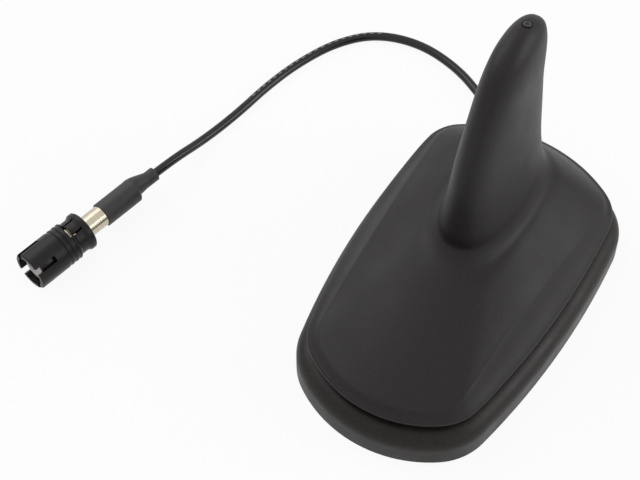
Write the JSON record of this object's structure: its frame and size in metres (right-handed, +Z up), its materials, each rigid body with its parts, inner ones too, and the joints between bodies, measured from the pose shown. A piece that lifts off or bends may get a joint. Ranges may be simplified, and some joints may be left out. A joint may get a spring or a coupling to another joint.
{
  "type": "car antenna",
  "caption": "Black car roof antenna with a swept moulded fin, rubber base gasket and a short coax pigtail ending in a slotted-sleeve plug.",
  "frame": {"origin": "middle of the gasket's underside, on the roof", "axes": "+Z up from the roof, +Y along the car towards the rear, where the fin is, X across the car"},
  "size_m": [0.152, 0.1409, 0.1009],
  "materials": {
    "cover_plastic": "moulded, fine matt grain",
    "gasket_rubber": "moulded black rubber",
    "cable_pvc": "extruded black PVC jacket",
    "boot_shrink": "shrunk polyolefin tube",
    "sleeve_plastic": "moulded black plastic, satin",
    "nickel_plate": "turned brass, nickel plated",
    "dielectric": "whitish moulded insulator",
    "brass": "turned brass",
    "cast_zinc": "die cast, as cast",
    "steel_screw": "zinc-plated steel",
    "board_fr4": "glass-fibre board with green solder mask",
    "chip_body": "moulded chip bodies",
    "tin_plate": "folded tin plate",
    "copper_foil": "etched copper foil"
  },
  "bodies": {
    "root": {"radome_cover": "cover_plastic", "base_gasket": "gasket_rubber", "base_plate": "cast_zinc", "threaded_insert": "brass", "cover_screws": "steel_screw", "amplifier_board": "board_fr4", "board_screws": "steel_screw", "board_components": "chip_body", "shield_can": "tin_plate", "radiator_board": "board_fr4", "radiator_strip": "copper_foil", "cable_grommet": "gasket_rubber", "feed_wire": "copper_foil", "coax_cable": "cable_pvc", "heat_shrink_boot": "boot_shrink", "plug_barrel": "nickel_plate", "crimp_ferrule": "nickel_plate", "plug_insulator": "dielectric", "centre_contact": "brass", "locking_sleeve": "sleeve_plastic"}
  },
  "joints": []
}
